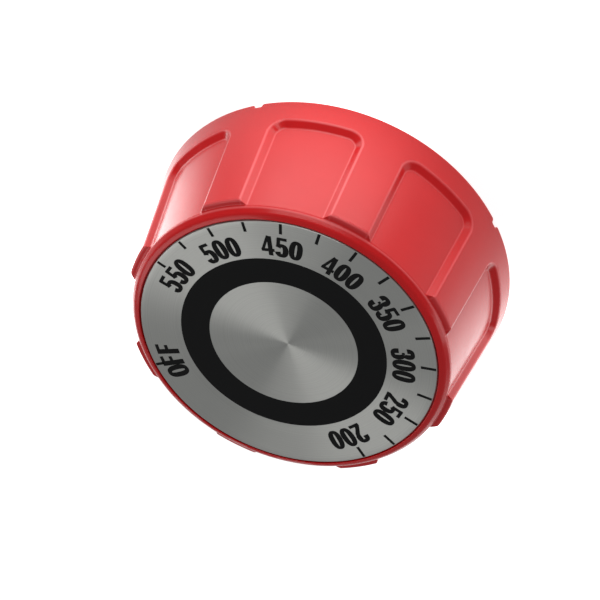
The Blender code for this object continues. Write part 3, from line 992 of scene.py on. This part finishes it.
def figure_strokes(sign):
    """The strokes of a figure or letter, centred on its width, standing on y = 0."""
    if sign == "0":
        return bowl((0, TOP / 2), 0.68, TOP / 2 - LEVEL / 2, 0, 360, 60)
    if sign == "O":
        return bowl((0, TOP / 2), 0.76, TOP / 2 - LEVEL / 2, 0, 360, 60)
    if sign == "F":
        return (bar((-0.62, 0), (-0.62, TOP), STEM) + bar((-0.9, TOP - 0.3), (0.92, TOP - 0.3), 0.6)
                + bar((-0.9, 2.12), (0.72, 2.12), 0.6))
    if sign == "2":
        return (bowl((0, 2.9), 0.66, 0.82, 188, -28)
                + stroke([(0.63, 2.62), (0.42, 2.0), (-0.1, 1.25), (-0.5, 0.62), (-0.58, 0.3)],
                         [0.84, 0.8, 0.74, 0.78, 0.84])
                + bar((-1.0, 0.3), (1.02, 0.3), 0.6))
    if sign == "3":
        return (bowl((-0.02, 3.0), 0.62, 0.72, 190, -75)
                + bowl((0, 1.18), 0.68, 0.9, 80, -190)
                + bar((-0.3, 2.12), (0.15, 2.12), 0.5))
    if sign == "4":
        return (bar((0.42, 0), (0.42, TOP), 0.78) + bar((-1.12, 1.1), (1.12, 1.1), 0.6)
                + stroke([(0.22, TOP + 0.06), (-0.9, 1.05)], [0.5, 0.5]))
    return (bar((-0.72, TOP - 0.3), (0.86, TOP - 0.3), 0.6)
            + stroke([(-0.52, TOP - 0.1), (-0.62, 1.95)], [0.66, 0.6])
            + bowl((0, 1.32), 0.68, 1.04, 150, -166))


def flat_shape(polygons):
    """Points and triangles of overlapping polygons as one shape, with its counters left open."""
    points, faces = [], []
    for polygon in polygons:
        faces.append(list(range(len(points), len(points) + len(polygon))))
        points += polygon
    made_points, _, made_faces, _, _, sources = delaunay_2d_cdt(points, [], faces, 0, 1e-5)
    return made_points, [face for face, source in zip(made_faces, sources) if source]


def figures(labels):
    """The printed words and numbers, each sign turned to stand upright on the ring."""
    bm = bmesh.new()
    shapes = {sign: flat_shape(figure_strokes(sign)) for sign in "02345OF"}
    for label, middle, foot in labels:
        for i, sign in enumerate(label):
            along = (i - (len(label) - 1) / 2) * FIGURE_ADVANCE
            turn = math.radians(middle) + along / (foot + TOP * 0.4)
            place = (Matrix.Translation(FIGURE_CENTRE) @ Matrix.Rotation(-turn, 4, "Z")
                     @ Matrix.Translation((0.0, foot, INK_BOTTOM)))
            points, faces = shapes[sign]
            used = {index for face in faces for index in face}
            verts = {index: bm.verts.new(place @ Vector((*points[index], 0.0))) for index in used}
            made = [bm.faces.new([verts[index] for index in face]) for face in faces]
            raised = bmesh.ops.extrude_face_region(bm, geom=made, use_keep_orig=True)["geom"]
            top = [item for item in raised if isinstance(item, bmesh.types.BMVert)]
            bmesh.ops.translate(bm, vec=(0, 0, INK_TOP - INK_BOTTOM), verts=top)
    bmesh.ops.recalc_face_normals(bm, faces=bm.faces)
    return bm


# Each figure's middle, in degrees clockwise from +Y, and the radius of its feet. They stand a
# little off their ticks, as the artwork for the print was laid out by hand.
labels = (("200", 126.3, 18.84), ("250", 95.9, 18.84), ("300", 66.9, 18.84), ("350", 37.2, 19.15),
          ("400", 8.9, 18.84), ("450", -20.6, 18.95), ("500", -50.9, 18.72), ("550", -80.5, 18.85),
          ("OFF", -133.7, 19.0))
printed(mesh_object("printed_figures", figures(labels)))


# Studio
# An opal acrylic table that glows, with three pools of painted light in its glow, a tall soft box
# behind the knob on the left, a wide one in front, a small one on the right, and a pale room.

TABLE_SIZE = 6000.0
SHEET_GLOW = 0.86
POOL_CORE = 18.0
POOL_REACH = 52.0
PAINTED_GLOW_POOLS = (((-62.0, -30.0, 0.0), 3.6), ((-22.0, 66.0, 0.0), 2.6), ((54.0, -16.0, 0.0), 1.2))


def white_acrylic():
    """Opal acrylic sheet that glows evenly, with three pools of painted light in its glow.

    The eye gets a plain white with hardly any shadow. The sheet is too bright for the painted pools
    to be told apart in it, and they show in the knob's gloss.
    """
    material, tree = new_material("opal_acrylic_table")
    place = add_node(tree, "ShaderNodeTexCoord").outputs["Object"]
    fine = add_node(tree, "ShaderNodeTexNoise", inputs={
        "Vector": place, "Scale": 1 / (2 * MM), "Detail": 2.0})
    roughness = add_node(tree, "ShaderNodeMapRange", inputs={
        "Value": fine.outputs[0], "From Min": 0.3, "From Max": 0.7,
        "To Min": 0.55, "To Max": 0.65})
    glow = SHEET_GLOW
    # Three pools of painted light added to the sheet's glow, brightest at their centres.
    for emitter, strength in PAINTED_GLOW_POOLS:
        away = add_node(tree, "ShaderNodeVectorMath", {"operation": "DISTANCE"}, {
            0: place, 1: tuple(length * MM for length in emitter)})
        pool = add_node(tree, "ShaderNodeMapRange", {"interpolation_type": "SMOOTHSTEP"}, {
            "Value": away.outputs["Value"], "From Min": POOL_CORE * MM,
            "From Max": POOL_REACH * MM, "To Min": strength, "To Max": 0.0})
        glow = add_node(tree, "ShaderNodeMath", {"operation": "ADD"}, {
            0: glow, 1: pool.outputs[0]}).outputs[0]
    shader = add_node(tree, "ShaderNodeBsdfPrincipled", inputs={
        "Base Color": linear("#ACACAC"), "Roughness": roughness.outputs[0],
        "Emission Color": linear("#FFFFFF"), "Emission Strength": glow})
    add_node(tree, "ShaderNodeOutputMaterial", inputs={"Surface": shader.outputs[0]})
    return material


sheet = bmesh.new()
bmesh.ops.create_grid(sheet, x_segments=1, y_segments=1, size=TABLE_SIZE / 2)
table = mesh_object("light_table", sheet)
table.data.materials.append(white_acrylic())


def soft_box(name, towards, along, distance, width, height, radiance):
    """An area light that faces the knob, with its height along a direction. Metres, W/m2/sr."""
    light = bpy.data.lights.new(name, "AREA")
    light.shape = "RECTANGLE"
    light.size = width
    light.size_y = height
    light.energy = radiance * math.pi * width * height
    emitter = bpy.data.objects.new(name, light)
    way = Vector(towards).normalized()
    side = Vector(along).cross(way).normalized()
    emitter.matrix_world = Matrix.Translation(way * distance) @ Matrix(
        (side, way.cross(side), way)).transposed().to_4x4()
    bpy.context.scene.collection.objects.link(emitter)


soft_box("key_box", towards=(-0.50, -0.46, 0.73), along=(0.20, 0.66, 0.54),
         distance=1.2, width=0.5, height=1.2, radiance=1.7)
soft_box("front_box", towards=(-0.36, 0.89, 0.30), along=(0.0, 0.0, 1.0),
         distance=1.3, width=1.0, height=0.5, radiance=3.6)
soft_box("right_box", towards=(0.94, 0.12, 0.14), along=(0.0, 0.0, 1.0),
         distance=1.3, width=0.4, height=0.3, radiance=3.0)

room = bpy.data.worlds.new("pale_room")
room.use_nodes = True
room.node_tree.nodes["Background"].inputs["Color"].default_value = linear("#F4F6F8")
room.node_tree.nodes["Background"].inputs["Strength"].default_value = 0.36
bpy.context.scene.world = room
bpy.context.scene.view_settings.view_transform = "Standard"

camera_data = bpy.data.cameras.new("camera")
camera_data.lens = 300
camera_data.sensor_width = 36
camera_data.clip_end = 20
camera = bpy.data.objects.new("camera", camera_data)
right = Vector((0.89479, 0.33157, -0.29901))
up = Vector((-0.44621, 0.64050, -0.62502))
back = Vector((-0.01572, 0.69269, 0.72107))
stand = Vector((-0.01433, 0.57402, 0.6122))
camera.matrix_world = Matrix.Translation(stand) @ Matrix((right, up, back)).transposed().to_4x4()
bpy.context.scene.collection.objects.link(camera)
bpy.context.scene.camera = camera
